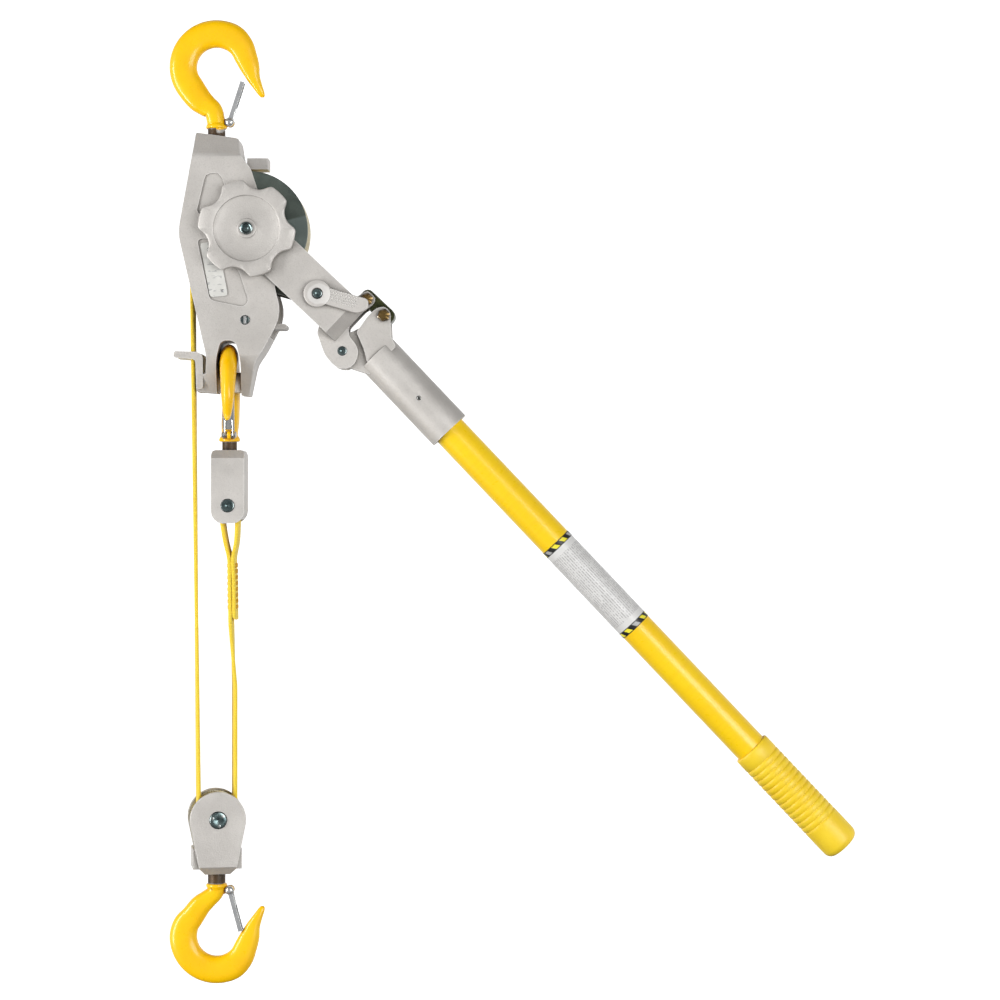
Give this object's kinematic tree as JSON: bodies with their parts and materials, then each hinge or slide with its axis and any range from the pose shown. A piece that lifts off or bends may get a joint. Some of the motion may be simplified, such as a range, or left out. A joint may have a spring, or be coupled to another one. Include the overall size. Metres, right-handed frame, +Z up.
{
  "type": "come along winch",
  "caption": "Web-strap ratchet hoist: swivel hooks, cast frame with strap drum and hand wheel, lower block, and a long fibreglass ratchet handle.",
  "frame": {"origin": "bearing point of the top hook's bowl, where the winch hangs", "axes": "+Z up along the line of pull, +X towards the handle and the hook openings, -Y towards the side with the hand wheel"},
  "size_m": [0.65, 0.0918, 0.9128],
  "materials": {
    "yellow_enamel": "glossy enamel",
    "cast_aluminium": "satin cast and tumbled",
    "dark_steel": "dark plated",
    "zinc_steel": "zinc plated",
    "yellow_zinc": "yellow zinc plated",
    "bronze": "plain bearing bronze",
    "webbing": "woven nylon webbing",
    "fibreglass": "smooth gloss",
    "vinyl_grip": "ribbed vinyl",
    "label": "printed vinyl"
  },
  "bodies": {
    "top_hook_body": {"top_hook": "yellow_enamel", "top_hook_nut": "zinc_steel", "top_latch_rivet": "zinc_steel"},
    "top_latch_body": {"top_latch": "zinc_steel"},
    "frame": {"frame_casting": "cast_aluminium", "shaft_bushing_front": "bronze", "shaft_bushing_back": "bronze", "nameplate": "label", "nameplate_rivet_1": "zinc_steel", "nameplate_rivet_2": "zinc_steel", "holding_pawl_pin": "zinc_steel", "anchor_block": "cast_aluminium", "anchor_pin": "zinc_steel", "strap_loop": "webbing", "strap_fall": "webbing", "strap_return": "webbing"},
    "drum": {"drum_shaft": "zinc_steel", "drum_hub": "cast_aluminium", "flange_front": "dark_steel", "flange_back": "dark_steel", "ratchet_front": "dark_steel", "ratchet_back": "dark_steel", "strap_roll": "webbing", "hand_wheel": "cast_aluminium", "hand_wheel_screw": "dark_steel", "shaft_washer": "zinc_steel", "shaft_nut": "zinc_steel"},
    "handle": {"handle_yoke": "cast_aluminium", "handle_hinge_pin": "zinc_steel", "handle_socket": "cast_aluminium", "overload_link": "dark_steel", "link_bolt_1": "yellow_zinc", "link_bolt_2": "yellow_zinc", "link_nut_1": "dark_steel", "link_nut_2": "dark_steel", "handle_tube": "fibreglass", "handle_label": "label", "handle_grip": "vinyl_grip", "socket_set_screw": "dark_steel"},
    "drive_pawl": {"drive_pawl_front": "dark_steel", "drive_pawl_back": "dark_steel", "drive_pawl_shaft": "dark_steel", "thumb_lever": "cast_aluminium"},
    "holding_pawl": {"holding_pawl_front": "dark_steel", "holding_pawl_back": "dark_steel", "release_tab": "dark_steel"},
    "anchor_hook_body": {"anchor_hook": "yellow_enamel", "anchor_hook_nut": "zinc_steel", "anchor_latch_rivet": "zinc_steel"},
    "anchor_latch_body": {"anchor_latch": "zinc_steel"},
    "lower_block": {"block_housing": "cast_aluminium", "sheave_pin": "zinc_steel", "strap_bight": "webbing"},
    "sheave_body": {"sheave": "yellow_zinc"},
    "bottom_hook_body": {"bottom_hook": "yellow_enamel", "bottom_hook_nut": "zinc_steel", "bottom_latch_rivet": "zinc_steel"},
    "bottom_latch_body": {"bottom_latch": "zinc_steel"}
  },
  "joints": [
    {"name": "top_latch_hinge", "type": "hinge", "parent": "top_hook_body", "child": "top_latch_body", "pos_m": [0.0126, 0, -0.07072], "axis": [0, 1, 0], "range_deg": [-32, 0], "stiffness_Nm_per_rad": 0.02, "springref_deg": 45.84},
    {"name": "top_swivel", "type": "hinge", "parent": "top_hook_body", "child": "frame", "pos_m": [0, 0, -0.1], "axis": [0, 0, 1], "continuous": true},
    {"name": "drum_spin", "type": "hinge", "parent": "frame", "child": "drum", "pos_m": [0.032, 0, -0.175], "axis": [0, 1, 0], "range_deg": [0, 300]},
    {"name": "handle_swing", "type": "hinge", "parent": "frame", "child": "handle", "pos_m": [0.032, 0, -0.175], "axis": [0, 1, 0], "range_deg": [-90, 15]},
    {"name": "drive_pawl_pivot", "type": "hinge", "parent": "handle", "child": "drive_pawl", "pos_m": [0.09803, 0, -0.23572], "axis": [0, 1, 0], "range_deg": [-9, 0], "stiffness_Nm_per_rad": 0.1, "springref_deg": 34.38},
    {"name": "holding_pawl_pivot", "type": "hinge", "parent": "frame", "child": "holding_pawl", "pos_m": [0.0294, 0, -0.2598], "axis": [0, 1, 0], "range_deg": [-8, 0], "stiffness_Nm_per_rad": 0.1, "springref_deg": 34.38},
    {"name": "anchor_turn", "type": "hinge", "parent": "frame", "child": "anchor_hook_body", "pos_m": [0.0123, 0, -0.326], "axis": [0, 0, 1], "range_deg": [-1.5, 1.5]},
    {"name": "anchor_latch_hinge", "type": "hinge", "parent": "anchor_hook_body", "child": "anchor_latch_body", "pos_m": [0.01296, -0.01258, -0.3675], "axis": [-0.9986, -0.0523, 0], "range_deg": [0, 32], "stiffness_Nm_per_rad": 0.02, "springref_deg": -45.84},
    {"name": "block_lift", "type": "slide", "parent": "frame", "child": "lower_block", "axis": [0, 0, 1], "range_m": [0, 0.1435], "deforming": ["strap_fall", "strap_return"]},
    {"name": "sheave_spin", "type": "hinge", "parent": "lower_block", "child": "sheave_body", "pos_m": [0, 0, -0.7307], "axis": [-0.1822, 0.9833, 0], "range_deg": [0, 485]},
    {"name": "bottom_swivel", "type": "hinge", "parent": "lower_block", "child": "bottom_hook_body", "pos_m": [0, 0, -0.78], "axis": [0, 0, 1], "continuous": true},
    {"name": "bottom_latch_hinge", "type": "hinge", "parent": "bottom_hook_body", "child": "bottom_latch_body", "pos_m": [0.0126, 0, -0.799], "axis": [0, 1, 0], "range_deg": [0, 32], "stiffness_Nm_per_rad": 0.02, "springref_deg": -45.84}
  ],
  "couplings": [
    {"joint": "block_lift", "follows": "drum_spin", "m_per_rad": 0.027375},
    {"joint": "sheave_spin", "follows": "drum_spin", "ratio": 1.6056}
  ]
}
